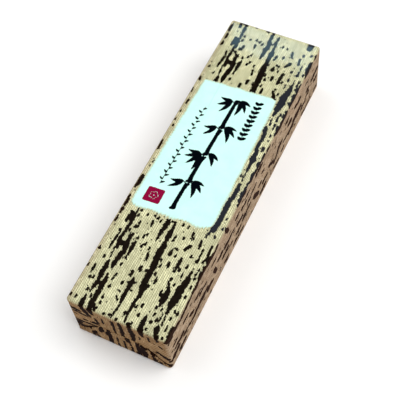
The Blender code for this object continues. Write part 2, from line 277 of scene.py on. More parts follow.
# These are on the top and bottom flaps of the near end, as across, down from the top edge and half width.
TOP_FLAP_STROKES = (
    ((16, 10, 0.8), (17, 15, 1)), ((13.5, 1, 0.5), (13.6, 4, 0.4)),
    ((27, 4, 1), (27, 8.5, 0.9), (27, 19, 0.4)), ((31.5, 2, 1), (32, 10, 1.3), (31.4, 20, 0.9)),
    ((37, -1, 1.2), (38.4, 8, 1.8), (37.6, 20, 0.8)), ((45, -1, 0.5), (45, 6, 0.6)),
    ((42.5, 9, 0.5), (42.6, 12, 0.5)), ((48, 4, 0.6), (48.4, 9, 0.6)),
    ((53.5, -1, 0.8), (53.4, 5, 0.9)), ((20.6, 6, 0.5), (20.8, 12, 0.6)),
)
BOTTOM_FLAP_STROKES = (
    ((22.6, 19, 1.2), (22.4, 30, 1.5), (22, 40, 1.2)), ((31.2, 25, 0.6), (31.2, 36, 0.7)),
    ((39.6, 20, 1), (39.9, 30, 1.6), (39.4, 42, 1.2)), ((43, 18, 1.1), (42.6, 28, 1.6), (43, 40, 1.2)),
    ((18.4, 18, 0.9), (18.6, 24, 1)), ((27.2, 23, 0.4), (27, 30, 0.5)),
    ((35, 22, 0.5), (35.2, 27, 0.5)), ((11.5, 30, 0.8), (11, 40, 0.9)),
    ((48.6, 30, 0.9), (48.8, 39, 1)), ((35.6, 29, 0.7), (35.2, 40, 0.9)),
    # The first stroke here runs along the right mitre: part print, part painted shadow of the flap's edge.
    ((44.6, 20, 0.6), (50, 26, 0.9), (57.6, 34.8, 0.8)), ((27, 32, 0.6), (27.4, 40, 0.8)),
    ((52.6, 33, 0.8), (53, 39, 0.9)),
)
# These are on its side flaps, as down from the top edge, inwards from the pack's side and half width.
RIGHT_FLAP_STROKES = (
    ((21, 7.2, 1.2), (23.4, 4, 1.6), (25.8, 0.7, 1.9)), ((23, 13.2, 1), (26.6, 9.4, 1.3)),
    ((28, 8.6, 0.5), (31.6, 4.6, 0.6)), ((33.2, 3.4, 0.9), (34.6, 0.6, 1.5)),
    ((11, 5, 0.6), (13, 3.6, 0.6)),
)
LEFT_FLAP_STROKES = (
    ((8.2, 1.4, 1.2), (8.8, 6, 1.4)), ((19.6, 7.2, 0.8), (19.3, 9.2, 0.9)),
    ((19.2, 12, 0.7), (18.9, 14.2, 0.8)),
    ((26.6, 0.4, 1.2), (29, 2.4, 1.5), (29.6, 6.4, 1), (26, 11, 0.9), (22.6, 15.5, 0.6)),
)


def moved(strokes, across, along, flip_across=1.0, flip_along=1.0):
    """The same strokes, counted from another place on the sheet, and mirrored by a flip of -1."""
    return [
        [(across + flip_across * a, along + flip_along * b, half_width) for a, b, half_width in stroke]
        for stroke in strokes
    ]


def spots(places, half_width, half_length):
    """Short strokes, one at each place, thinner towards their far ends."""
    return [
        [(a + 0.1, b - half_length, 0.7 * half_width), (a, b + half_length, half_width)] for a, b in places
    ]


# Marks with rough edges: the step between their points, how far these stray, and how much they swell.
ROUGH_STEP = 2.5
ROUGH_STRAY = 0.35
ROUGH_SWELL = (0.6, 1.3)


def roughened(strokes, more, seed):
    """The same strokes, a little wider, in steps that each stray and swell by a seeded amount."""
    rng = np.random.default_rng(seed)
    rough = []
    for stroke in strokes:
        path = np.array(stroke)
        walked = np.concatenate([[0.0], np.cumsum(np.hypot(*np.diff(path[:, :2], axis=0).T))])
        steps = np.linspace(0.0, walked[-1], max(2, round(walked[-1] / ROUGH_STEP) + 1))
        places = np.stack([np.interp(steps, walked, column) for column in path.T], -1)
        places[:, 0] += rng.normal(0.0, ROUGH_STRAY, steps.size)
        places[:, 2] = (places[:, 2] + more) * rng.uniform(*ROUGH_SWELL, steps.size)
        rough.append(places.tolist())
    return rough


# A broken line starts and ends past the ends of the pack. Each of its dashes has points a step apart, which
# stray and swell, and a gap follows. From dash to dash the line drifts sideways.
LINE_START = (-30.0, -10.0)
LINE_PAST_END = 20.0
LINE_DRIFT = 1.0
DASH_STEP = 3.4
DASH_POINTS = (2, 6)
DASH_HALF_WIDTH = (0.7, 1.8)
DASH_STRAY = 0.4
DASH_SWELL = (0.5, 1.1)
DASH_GAP = (1.0, 24.0)
SPOTS_PAST_END = 30.0
SPOT_HALF_WIDTH = 0.55
SPOT_HALF_LENGTH = 0.7


def scattered(first, last, lines, small, seed):
    """Seeded strokes between two places across: broken lines along the sheath, and spots between them."""
    rng = np.random.default_rng(seed)
    strokes = []
    for k in range(lines):
        across = first + (last - first) * (k + rng.uniform(0.0, 1.0)) / lines
        along = rng.uniform(*LINE_START)
        while along < PACK_LENGTH + LINE_PAST_END:
            points = int(rng.integers(*DASH_POINTS))
            half_width = rng.uniform(*DASH_HALF_WIDTH)
            strokes.append([
                (across + rng.normal(0.0, DASH_STRAY), along + DASH_STEP * i,
                 half_width * rng.uniform(*DASH_SWELL))
                for i in range(points)
            ])
            along += DASH_STEP * points + rng.uniform(*DASH_GAP)
            across = np.clip(across + rng.normal(0.0, LINE_DRIFT), first, last)
    places = rng.uniform((first, -SPOTS_PAST_END), (last, PACK_LENGTH + SPOTS_PAST_END), (small, 2))
    return strokes + spots(places.tolist(), SPOT_HALF_WIDTH, SPOT_HALF_LENGTH)


# The depth of a place that is far from any mark.
NO_MARK = -3.0


def stroke_depth(across, along, strokes):
    """How deep each point lies in the nearest stroke, in mm, and less than 0 outside.

    Along one piece of a stroke, depth is the half width there minus the distance to the piece's line.
    """
    deepest = np.full(np.broadcast(across, along).shape, NO_MARK)
    for stroke in strokes:
        for (a0, b0, r0), (a1, b1, r1) in zip(stroke, stroke[1:]):
            da, db = a1 - a0, b1 - b0
            share = np.clip(((across - a0) * da + (along - b0) * db) / (da * da + db * db), 0.0, 1.0)
            off = np.hypot(across - a0 - share * da, along - b0 - share * db)
            deepest = np.maximum(deepest, r0 + share * (r1 - r0) - off)
    return deepest


# How many sine waves add up to an uneven height.
WAVE_COUNT = 14


def gentle_waves(x, y, longest, depth, seed):
    """A smooth uneven height: the sum of sine waves with seeded directions, lengths and phases."""
    rng = np.random.default_rng(seed)
    turn = rng.uniform(0.0, math.tau, WAVE_COUNT)
    length = longest * rng.uniform(0.4, 1.0, WAVE_COUNT)
    phase = rng.uniform(0.0, math.tau, WAVE_COUNT)
    ahead = np.multiply.outer(x, np.cos(turn)) + np.multiply.outer(y, np.sin(turn))
    return depth * np.sin(math.tau * ahead / length + phase).sum(-1) / math.sqrt(WAVE_COUNT / 2.0)


# The paper's waves are long and low, for it is drawn tight over the carton.
WAVE_LENGTH = 60.0
WAVE_DEPTH = 0.018
WAVE_FADE = 9.0


def faded_waves(x, y, half_run, seed):
    """How far the paper of a face stands out: gentle waves that fade out towards the face's four edges."""
    room = np.minimum(half_run - np.abs(x), END_FACE - np.abs(y))
    return gentle_waves(x, y, WAVE_LENGTH, WAVE_DEPTH, seed) * np.clip(room / WAVE_FADE, 0.0, 1.0)


def top_relief(x, y):
    """The relief of the top, which the label follows too."""
    return faded_waves(x, y, HALF_WIDTH, seed=5)


def side_relief(x, y):
    """The relief of the two sides."""
    return faded_waves(x, y, HALF_HEIGHT, seed=8)


# The lap: its edge on the underside, how far its step takes to fade in from the edges, and its height.
LAP_EDGE = -9.0
LAP_EASE = 12.0
LAP_PLY = 0.15


def lap_relief(x, y):
    """On the underside the sheet's outer end lies proud: beyond its edge, the rest is a lap's ply in."""
    room = np.minimum(HALF_WIDTH - np.abs(x), END_FACE - np.abs(y))
    return -LAP_PLY * (x > LAP_EDGE) * np.clip(room / LAP_EASE, 0.0, 1.0)


# How finely the sheet is stepped: across the top and the sides, by the folds, and in rows along the flaps,
# the folds and the pack. The wrap stays under 200,000 triangles.
TOP_SPACING = 0.55
SIDE_SPACING = 0.75
BY_FOLD = (0.0, 0.1, 0.25, 0.5, 0.8)
FLAP_ROWS = 22
FOLD_ROWS = 7
STRAIGHT_ROWS = 216


def close_columns(half_run, spacing):
    """Shares from -1 to 1 across a panel, evenly spaced and closer by the folds at both ends."""
    even = np.linspace(-1.0, 1.0, round(2.0 * half_run / spacing))[1:-1]
    by_fold = 1.0 - np.array(BY_FOLD) / half_run
    even = even[np.abs(even) < by_fold[-1]]
    return np.sort(np.concatenate([even, by_fold, -by_fold]))


def along_stations():
    """Rows from the middle of the far end to that of the near one: inset, Y, share out and along."""
    turn = np.linspace(math.pi / 2.0, 0.0, FOLD_ROWS)
    flap = np.linspace(HALF_HEIGHT, END_EDGE_ROUND, FLAP_ROWS)[:-1]
    inset = np.concatenate([flap, END_EDGE_ROUND * (1.0 - np.cos(turn))])
    place = END_FACE - np.concatenate([0.0 * flap, END_EDGE_ROUND * (1.0 - np.sin(turn))])
    out = np.concatenate([0.0 * flap + 1.0, np.sin(turn)])
    along = np.concatenate([-flap, END_EDGE_ROUND * (np.cos(turn) - np.sin(turn))])
    straight = np.linspace(place[-1], -place[-1], STRAIGHT_ROWS)[1:-1]
    still = 0.0 * straight
    return (
        np.concatenate([inset, still, inset[::-1]]),
        np.concatenate([place, straight, -place[::-1]]),
        np.concatenate([out, still, out[::-1]]),
        np.concatenate([along, PACK_LENGTH / 2.0 - straight, PACK_LENGTH - along[::-1]]),
    )


def panel(facing, ahead, reach, run, plies, shares, sheet_middle, relief):
    """One face of the wrap and its two flaps, as points, sheet across and sheet along on a grid.

    Each row is a straight run with an eighth of a round at both ends, drawn in by the row's inset. On the
    end faces the flap stands out by its plies, rolled down at its mitred edges as a quarter circle.
    """
    inset, place, out, along = (a[:, None] for a in along_stations())
    half = run - inset
    corner = np.clip(LONG_EDGE_ROUND - inset, 0.0, None)
    straight = half - corner
    walked = np.abs(shares)[None] * (straight + corner * math.pi / 4.0)
    turn = np.clip((walked - straight) / np.maximum(corner, 1e-9), 0.0, math.pi / 4.0)
    turn = np.where(corner > 0.0, turn, 0.0)
    side = np.sign(shares)[None] * (np.minimum(walked, straight) + corner * np.sin(turn))
    height = reach - inset - corner * (1.0 - np.cos(turn))
    from_fold = (1.0 - np.abs(shares))[None] * half
    rest = 1.0 - np.clip(from_fold / FOLD_ROLL, 0.0, 1.0)
    rise = plies * PLY * out * np.sqrt(1.0 - rest * rest)
    y = place + np.sign(place) * rise
    height = height + relief(side, y + 0.0 * side) * (1.0 - out)
    points = np.stack([
        facing[0] * height + ahead[0] * side,
        y + 0.0 * side,
        HALF_HEIGHT + facing[1] * height + ahead[1] * side,
    ], -1)
    return points, sheet_middle + shares[None] * half, along + 0.0 * side


# Points that agree to this many digits of a mm become one. An edge sharper than the angle stays sharp.
SAME_PLACE_DIGITS = 4
SHARP_ANGLE = math.radians(40.0)


def build_surface(name, patches, material, attributes):
    """One closed mesh from grids of points that share their borders.

    patches holds, for each grid, its points, its two texture coordinates, and a value for each named
    attribute. Points at the same place become one, and each face corner keeps its own values.
    """
    all_points, all_quads, corner_values, first = [], [], [], 0
    for points, *values in patches:
        rows, columns = points.shape[:2]
        index = np.arange(rows * columns).reshape(rows, columns)
        quads = np.stack([index[:-1, :-1], index[1:, :-1], index[1:, 1:], index[:-1, 1:]], -1)
        quads = quads.reshape(-1, 4)
        all_points.append(points.reshape(-1, 3))
        all_quads.append(quads + first)
        corner_values.append(np.stack([v.reshape(-1)[quads.reshape(-1)] for v in values], -1))
        first += rows * columns
    points, quads, values = (np.concatenate(part) for part in (all_points, all_quads, corner_values))
    _, kept, place = np.unique(
        np.round(points, SAME_PLACE_DIGITS), axis=0, return_index=True, return_inverse=True
    )
    quads = place.reshape(-1)[quads]
    distinct = quads != np.roll(quads, -1, axis=1)
    corners = distinct & (distinct.sum(1) >= 3)[:, None]
    sizes = corners.sum(1)
    sizes = sizes[sizes > 0]
    mesh = bpy.data.meshes.new(name)
    mesh.vertices.add(kept.size)
    mesh.vertices.foreach_set("co", (points[kept] * MM).astype(np.float32).ravel())
    mesh.loops.add(int(sizes.sum()))
    mesh.loops.foreach_set("vertex_index", quads[corners].astype(np.int32))
    mesh.polygons.add(sizes.size)
    starts = np.concatenate([[0], np.cumsum(sizes)[:-1]])
    mesh.polygons.foreach_set("loop_start", starts.astype(np.int32))
    mesh.update(calc_edges=True)
    kept_values = values[corners.reshape(-1)].astype(np.float32)
    mesh.uv_layers.new(name="sheet_mm").data.foreach_set("uv", kept_values[:, :2].ravel())
    for i, attribute in enumerate(attributes):
        layer = mesh.attributes.new(attribute, "FLOAT", "CORNER")
        layer.data.foreach_set("value", np.ascontiguousarray(kept_values[:, 2 + i]))
    mesh.validate()
    mesh.materials.append(material)
    mesh.shade_smooth()
    mesh.set_sharp_from_angle(angle=SHARP_ANGLE)
    piece = bpy.data.objects.new(name, mesh)
    bpy.context.scene.collection.objects.link(piece)
    return piece


def add_node(tree, kind, inputs, **settings):
    """Adds a shader node with its settings and inputs, and returns the first of its outputs in use.

    An input goes by its name, or by its number among those in use, and is a value or another socket.
    """
    made = tree.nodes.new("ShaderNode" + kind)
    for name, value in settings.items():
        setattr(made, name, value)
    in_use = [socket for socket in made.inputs if socket.enabled]
    for key, value in inputs.items():
        socket = in_use[key] if isinstance(key, int) else made.inputs[key]
        if isinstance(value, bpy.types.NodeSocket):
            tree.links.new(value, socket)
        else:
            socket.default_value = value
    return next((socket for socket in made.outputs if socket.enabled), None)


def empty_material(name):
    """A material without any nodes, and the function that adds nodes to it."""
    material = bpy.data.materials.new(name)
    material.use_nodes = True
    material.node_tree.nodes.clear()
    return material, partial(add_node, material.node_tree)


# Settings that many nodes share: for a mix of two colours, and for a noise on the flat sheet.
RGBA = {"data_type": "RGBA"}
FLAT = {"noise_dimensions": "2D"}
# The print's colours, each on the top, on the sides and underside, and on the ends: the top's is the lit
# copy, and the sides' and ends' are painted shade, painted darker and browner.
GROUND_LIT_AND_SHADED = ("C8C59E", "A88F73", "9D7B56")
PALE_LIT_AND_SHADED = ("E8E5BA", "D3BBA0", "BC9E75")
GROOVE_LIT_AND_SHADED = ("8A865E", "6E5740", "775639")
INK_LIT_AND_SHADED = ("140D07", "281002", "1C0802")
# To the right of the label the ink is painted slate: a painted sheen of the varnish. It turns so between two
# places across, and back between two along.
SHEEN_SLATE_INK = "292B31"
SHEEN_SHARE = 0.8
SHEEN_ACROSS = (48.0, 51.0)
SHEEN_ALONG = (142.0, 152.0)
# The drawn sheath has grooves 0.4 mm apart and hairs as fine. Both are drawn wider here, so that they show.
GROOVE_PITCH = 1.15
TWILL_PITCH = 1.35
TWILL_LEAN = 0.45
TWILL_SHARE = 0.67
FIBRE_WIDTH = 0.6
# Places on neighbouring fibres are set this much apart, so that each fibre has a noise of its own.
FIBRE_APART = 7.3
# A cell of the sheet, across and along, holds one speck at most.
SPECK_CELL = (2.3, 3.6)
# What the mesh carries at each point: its depth in a mark, and its shares of the painted shade of the sides
# and of the ends, which come in as it turns to a side or an end.
WRAP_ATTRIBUTES = ("mark_depth", "side_shade_share", "end_shade_share")


def sheath_print_paper():
    """Offset print on machine-glazed paper under a thin varnish.

    The ground is matt, the ink is crisp, and the varnish adds a faint sharp gloss. Places are in mm, so a
    noise's scale is one over the size of its patches in mm.
    """
    material, add = empty_material("offset_printed_varnished_paper")
    sheet = add("UVMap", {}, uv_map="sheet_mm")
    across = add("SeparateXYZ", {0: sheet})
    along = across.node.outputs["Y"]
    # The depth in a mark, and the shares of painted shade on the sides and underside, and on the ends.
    depth, down, end_shade = (
        add("Attribute", {}, attribute_name=name).node.outputs["Fac"] for name in WRAP_ATTRIBUTES
    )

    tones = []
    # Each colour's lit copy on the top gives way to its painted-shade copies on the sides and the ends.
    for on_top, side_shaded, end_shaded in (GROUND_LIT_AND_SHADED, PALE_LIT_AND_SHADED, GROOVE_LIT_AND_SHADED, INK_LIT_AND_SHADED):
        top_or_side_shaded = add("Mix", {0: down, 1: linear(on_top), 2: linear(side_shaded)}, **RGBA)
        tones.append(add("Mix", {0: end_shade, 1: top_or_side_shaded, 2: linear(end_shaded)}, **RGBA))
    ground, pale, groove, black = tones

    # Two kinds of place: one drawn out along the sheath, and one that is the same across a whole fibre.
    drawn_out = add("Mapping", {"Vector": sheet, "Scale": (1.0, 0.4, 1.0)})
    fibre = add("Math", {0: across, 1: FIBRE_WIDTH}, operation="SNAP")
    own_place = add("Math", {0: fibre, 1: FIBRE_APART}, operation="MULTIPLY")
    by_fibre = add("CombineXYZ", {0: own_place, 1: along})

    # Pale streaks, each as wide as a fibre.
    streaks = add("TexNoise", {0: by_fibre, "Scale": 0.22, "Detail": 1.0}, **FLAT)
    streaks = add("MapRange", {0: streaks, 1: 0.52, 2: 0.60, 4: 0.85})
    colour = add("Mix", {0: streaks, 1: ground, 2: pale}, **RGBA)

    # Grooves along the sheath, crossed by a slanting row of dashes.
    rib = add("Math", {0: across, 1: math.tau / GROOVE_PITCH}, operation="MULTIPLY")
    rib = add("Math", {0: rib}, operation="SINE")
    slant = add("Math", {0: across, 1: -TWILL_LEAN, 2: along}, operation="MULTIPLY_ADD")
    twill = add("Math", {0: slant, 1: math.tau / TWILL_PITCH}, operation="MULTIPLY")
    twill = add("Math", {0: twill}, operation="SINE")
    wave = add("Math", {0: twill, 1: TWILL_SHARE, 2: rib}, operation="MULTIPLY_ADD")
    wave = add("MapRange", {0: wave, 1: -0.33, 2: 1.17, 4: 0.75})
    colour = add("Mix", {0: wave, 1: colour, 2: groove}, **RGBA)

    # Broad uneven patches of lighter and darker ground.
    patches = add("TexNoise", {0: drawn_out, "Scale": 0.13}, **FLAT)
    patches = add("MapRange", {0: patches, 1: 0.3, 2: 0.7, 3: 0.88, 4: 1.08})
    colour = add("HueSaturation", {"Value": patches, "Color": colour})

    # The marks: their depth, made uneven by each fibre's own noise and by a finer ragged one.
    stepped = add("TexNoise", {0: by_fibre, "Scale": 0.6, "Detail": 1.0}, **FLAT)
    stepped = add("MapRange", {0: stepped, 3: -0.62, 4: 0.62}, clamp=False)
    ragged = add("TexNoise", {0: drawn_out, "Scale": 1.5}, **FLAT)
    ragged = add("MapRange", {0: ragged, 3: -0.45, 4: 0.45}, clamp=False)
    uneven = add("Math", {0: stepped, 1: ragged}, operation="ADD")
    uneven = add("Math", {0: depth, 1: uneven}, operation="ADD")
    marks = add("MapRange", {0: uneven, 1: -0.20, 2: -0.12})

    # Small specks between the marks: one in some of the cells, of a size of its own.
    per_cell = (1.0 / SPECK_CELL[0], 1.0 / SPECK_CELL[1], 1.0)
    cells = add("Mapping", {"Vector": sheet, "Scale": per_cell})
    from_speck = add("TexVoronoi", {0: cells, "Scale": 1.0}, voronoi_dimensions="2D")
    chance = add("SeparateColor", {0: from_speck.node.outputs["Color"]})
    size = add("MapRange", {0: chance, 1: 0.66, 2: 1.0, 4: 0.18})
    wobble = add("Math", {0: stepped, 1: 0.07, 2: from_speck}, operation="MULTIPLY_ADD")
    specks = add("Math", {0: size, 1: wobble}, operation="SUBTRACT")
    specks = add("MapRange", {0: specks, 1: -0.01, 2: 0.02})

    # The ink is uneven, and beside the label it is painted slate, as a painted sheen.
    thin = add("TexNoise", {0: drawn_out, "Scale": 0.8}, **FLAT)
    thin = add("MapRange", {0: thin, 1: 0.3, 2: 0.7, 3: 0.6, 4: 1.4})
    ink = add("HueSaturation", {"Value": thin, "Color": black})
    sheen_across = add("MapRange", {0: across, 1: SHEEN_ACROSS[0], 2: SHEEN_ACROSS[1]})
    level = add("MapRange", {0: along, 1: SHEEN_ALONG[0], 2: SHEEN_ALONG[1], 3: SHEEN_SHARE, 4: 0.0})
    painted_sheen = add("Math", {0: sheen_across, 1: level}, operation="MULTIPLY")
    on_top = add("Math", {0: 1.0, 1: down}, operation="SUBTRACT")
    painted_sheen = add("Math", {0: painted_sheen, 1: on_top}, operation="MULTIPLY")
    ink = add("Mix", {0: painted_sheen, 1: ink, 2: linear(SHEEN_SLATE_INK)}, **RGBA)
    inked = add("Math", {0: marks, 1: specks}, operation="MAXIMUM")
    colour = add("Mix", {0: inked, 1: colour, 2: ink}, **RGBA)

    grain = add("TexNoise", {0: drawn_out, "Scale": 3.4}, **FLAT)
    bump = add("Bump", {"Height": grain, "Distance": 0.00002, "Strength": 0.5})
    surface = add("BsdfPrincipled", {
        "Base Color": colour, "Roughness": 0.6, "Specular IOR Level": 0.0, "Coat Weight": 0.06,
        "Coat Roughness": 0.05, "Coat IOR": 1.45, "Normal": bump,
    })
    add("OutputMaterial", {"Surface": surface})
    return material


# The painted shade of the sides and ends deepens over this run, from its share at a fold, and more slowly
# over the left fold, where it reaches a few mm onto the top.
SHADE_RUN = 2.4
SHADE_AT_FOLD = 0.25
LEFT_SHADE_RUN = 8.0
LEFT_SHADE_AT_FOLD = 0.52

# The top, the right side, the underside and the left side, each with its two flaps.
wide = close_columns(HALF_WIDTH, TOP_SPACING)
tall = close_columns(HALF_HEIGHT, SIDE_SPACING)
faces = [
    panel((0, 1), (1, 0), HALF_HEIGHT, HALF_WIDTH, 1, wide, HALF_WIDTH, top_relief),
    panel((1, 0), (0, -1), HALF_WIDTH, HALF_HEIGHT, 0, tall, PACK_WIDTH + HALF_HEIGHT, side_relief),
    panel((0, -1), (-1, 0), HALF_HEIGHT, HALF_WIDTH, PLIES_OUT, wide, BOTTOM_START + HALF_WIDTH,
          lap_relief),
    panel((-1, 0), (0, 1), HALF_WIDTH, HALF_HEIGHT, 0, tall, -HALF_HEIGHT, side_relief),
]
# First come the marks of the top and of the right side, which has scattered spots too, then those of the near
# end's flaps, and the same turned round on the far end's. The photo doesn't show the underside and the left
# side, and theirs are scattered.
BESIDE_SHIFT = 1.0
FAR_END_SHIFT = 3.0
near_marks = [*TOP_STROKES, *spots(TOP_SPOTS, half_width=0.7, half_length=0.6)]
beside_marks = [*BESIDE_STROKES, *spots(BESIDE_SPOTS, half_width=0.55, half_length=0.5)]
side_marks = roughened(SIDE_STROKES, more=0.45, seed=11)
side_marks += spots(SIDE_SPOTS, half_width=0.6, half_length=0.8)
sheet_strokes = [
    *near_marks,
    *moved(near_marks, REPEAT_DRIFT, -SHEET_REPEAT),
    *moved(beside_marks, 0.0, BESIDE_SHIFT),
    *moved(side_marks, PACK_WIDTH, 0.0),
    *scattered(PACK_WIDTH + 7.0, BOTTOM_START - 1.0, lines=0, small=70, seed=3),
    *moved(TOP_FLAP_STROKES, 0.0, PACK_LENGTH),
    *moved(BOTTOM_FLAP_STROKES, BOTTOM_START + PACK_WIDTH, PACK_LENGTH + PACK_HEIGHT, -1.0, -1.0),
    *moved(roughened(RIGHT_FLAP_STROKES, more=0.0, seed=12), PACK_WIDTH, PACK_LENGTH),
    *moved(LEFT_FLAP_STROKES, 0.0, PACK_LENGTH, -1.0, 1.0),
    *moved(TOP_FLAP_STROKES, PACK_WIDTH + FAR_END_SHIFT, 0.0, -1.0, -1.0),
    *moved(BOTTOM_FLAP_STROKES, BOTTOM_START - FAR_END_SHIFT, -PACK_HEIGHT, 1.0, 1.0),
    *moved(LEFT_FLAP_STROKES, PACK_WIDTH, 0.0, 1.0, -1.0),
    *moved(roughened(RIGHT_FLAP_STROKES, more=0.0, seed=13), 0.0, 0.0, -1.0, -1.0),
    *scattered(BOTTOM_START + 1.0, SHEET_ROUND - PACK_HEIGHT, lines=11, small=90, seed=4),
    *scattered(-PACK_HEIGHT + 1.0, -4.0, lines=6, small=60, seed=6),
]
patches = []
for points, across, along in faces:
    past_end = np.maximum(-along, along - PACK_LENGTH)
    # Painted shade: its share comes in over the folds to the sides and underside, and to the ends.
    right_shade = (across - PACK_WIDTH) / SHADE_RUN + SHADE_AT_FOLD
    left_shade = -across / LEFT_SHADE_RUN + LEFT_SHADE_AT_FOLD
    down = np.clip(np.maximum(right_shade, left_shade), 0.0, 1.0)
    end_shade = np.clip(past_end / SHADE_RUN + SHADE_AT_FOLD, 0.0, 1.0)
    patches.append((points, across, along, stroke_depth(across, along, sheet_strokes), down, end_shade))
# At the middle of each end, a narrow strip steps down from the bottom flap's edge to the top flap's.
for row in (0, -1):
    ridge = np.stack([faces[2][0][row, ::-1], faces[0][0][row]])
    if row == -1:
        ridge = ridge[::-1]
    edge_values = [np.stack([v[row, ::-1]] * 2) for v in patches[2][1:]]
    patches.append((ridge, *edge_values))
wrap = build_surface("sheath_wrap", patches, sheath_print_paper(), WRAP_ATTRIBUTES)
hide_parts("wrapped_pack")
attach(wrap, "root")


# Label: a slip of hand-made mulberry paper, tinted pale mint, torn to size along wetted lines so that its
# long fibres feather the edges, and glued flat on the wrap. It is brushed with ink and stamped in red.
# A place on it is in mm from its left edge and from its far edge.
label_low, label_high = (np.array(corner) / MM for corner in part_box("torn_label"))
LABEL_SHIFT = (0.1, 0.4)
LABEL_MIDDLE = (label_low + label_high)[:2] / 2.0 + LABEL_SHIFT
LABEL_WIDTH = 48.0
LABEL_LENGTH = 95.4
# The slip isn't quite square: how far its sides lean, the slant of its ends, and its turn as it was glued.
LEFT_EDGE_LEAN = 0.8
RIGHT_EDGE_LEAN = 0.4
LABEL_SLANT = math.radians(2.1)
LABEL_TURN = math.radians(0.4)
LABEL_THICK = 0.18
EDGE_THICK = 0.02
FEATHER_RUN = 2.4
GLUE_GAP = 0.03
CREASE_PLACE = 11.0
CREASE_LEAN = 0.04
CREASE_HALF_WIDTH = 0.5
CREASE_HEIGHT = 0.07
# Down the label the crease sinks between the first two places,
# and its painted shade fades between the next two.
CREASE_SINKS = (12.0, 42.0)
SHADE_FADES = (15.0, 35.0)
PAPER_MINT = "CDFBEF"
FIBRE_MINT = "DCFEF5"
# The crease's painted shade.
CREASE_SHADE_MINT = "AEDDD8"
SHOWN_THROUGH = "B9B690"
SUMI_BLACK = "04070D"
SEAL_RED = "800733"
SEAL_THIN_RED = "93123B"

# How far a leaf bows aside, as a share of its length.
LEAF_BOW = 0.09


def leaf(root, turn, length, half_width):
    """A brushed leaf: a stroke that swells from its root to a third of its length, and runs out to a tip.

    Its line bows aside by a sine. Its half width follows a sine of a power of its share, which brings the
    widest place forwards.
    """
    share = np.linspace(0.0, 1.0, 9)
    bow = LEAF_BOW * length * np.sin(math.pi * share)
    across = root[0] + length * share * math.sin(turn) + bow * math.cos(turn)
    down = root[1] + length * share * math.cos(turn) - bow * math.sin(turn)
    swell = half_width * np.sin(math.pi * share ** 0.6) ** 0.8
    return list(zip(across.tolist(), down.tolist(), (swell + 0.05).tolist()))


# The culm's line, and each piece's lower and upper end down the label and its place from that line.
CULM_X = 24.1
CULM_PIECES = ((89.5, 72.3, -1.3), (70.5, 52.5, -0.4), (50.5, 32.3, 0.5), (30.3, 9.1, 1.2))
# Each cluster's place down the label and from the culm's line, and how its leaves turn, left and right. They
# hang from a short stalk to each side. The first leaf has this length and half width, the next are larger.
LEAF_CLUSTERS = (
    (11.5, 1.3, (-1.62, -0.95, -0.40), (1.30, 0.62, 0.02)),
    (32.1, 0.6, (-1.30, -0.62), (1.55, 0.98, 0.42)),
    (51.9, -0.2, (-1.55, -1.02, -0.48, 0.0), (1.12, 0.50)),
    (72.5, -0.9, (-1.38, -0.80), (1.48, 0.90, 0.30)),
)
STALK_OUT = 2.7
STALK_UP = 2.0
STALK_LEAN = 0.5
LEAF_LENGTH = 7.2
LEAF_HALF_WIDTH = 1.25
NEXT_LEAF_LONGER = 1.9
NEXT_LEAF_WIDER = 0.1


def bamboo_stem():
    """Culm pieces up the label's middle, with leaves hanging at their joints.

    For each piece the brush is set down, drawn up lightly, pressed again and lifted away to the right.
    """
    strokes = []
    for low, high, lean in CULM_PIECES:
        x = CULM_X + lean
        strokes.append([(x - 1.0, low + 0.2, 0.9), (x + 0.3, low - 0.6, 1.5), (x, low - 3.0, 1.25),
                        (x + 0.3, high + 4.0, 1.1), (x + 0.6, high + 1.0, 1.4), (x + 1.6, high + 0.2, 0.8)])
    for y, lean, left_turns, right_turns in LEAF_CLUSTERS:
        root = (CULM_X + lean, y)
        for side, turns in ((-1.0, left_turns), (1.0, right_turns)):
            start = (root[0] + STALK_OUT * side, y - STALK_UP - STALK_LEAN * side)
            strokes.append([(*root, 0.35), (*start, 0.3)])
            for i, turn in enumerate(turns):
                length = LEAF_LENGTH + NEXT_LEAF_LONGER * i
                strokes.append(leaf(start, turn, length, LEAF_HALF_WIDTH + NEXT_LEAF_WIDER * i))
    return strokes


# Each twig's place across, its top and bottom, its leaves' spacing, length and half width, and whether they
# are paired.
TWIGS = ((39.0, 5.3, 34.3, 3.3, 3.0, 1.05, True), (9.8, 19.3, 77.3, 2.5, 2.5, 0.65, False))
TWIG_LEAF_TURN = 2.1


def twig(x, top, bottom, spacing, leaf_length, half_width, paired):
    """A thin stem with small leaves, in pairs or alternately to both sides."""
    strokes = [[(x + 0.3, top, 0.12), (x, (top + bottom) / 2.0, 0.2), (x - 0.2, bottom, 0.25)]]
    for i, y in enumerate(np.arange(top + 1.0, bottom - 1.0, spacing).tolist()):
        for side in ((-1.0, 1.0) if paired else ((-1.0) ** i,)):
            strokes.append(leaf((x, y + 1.4), side * TWIG_LEAF_TURN, leaf_length, half_width))
    return strokes


SEAL_CORNERS = ((5.1, 80.8), (14.9, 80.7), (15.0, 90.4), (5.2, 90.5))
SEAL_ROUND = 1.0
# The blossom is a thin line round its petals, with a dot in the middle.
PETALS = 5
BLOSSOM_REACH = 1.75
PETAL_DEPTH = 0.75
LINE_HALF_WIDTH = 0.10
DOT_REACH = 0.30


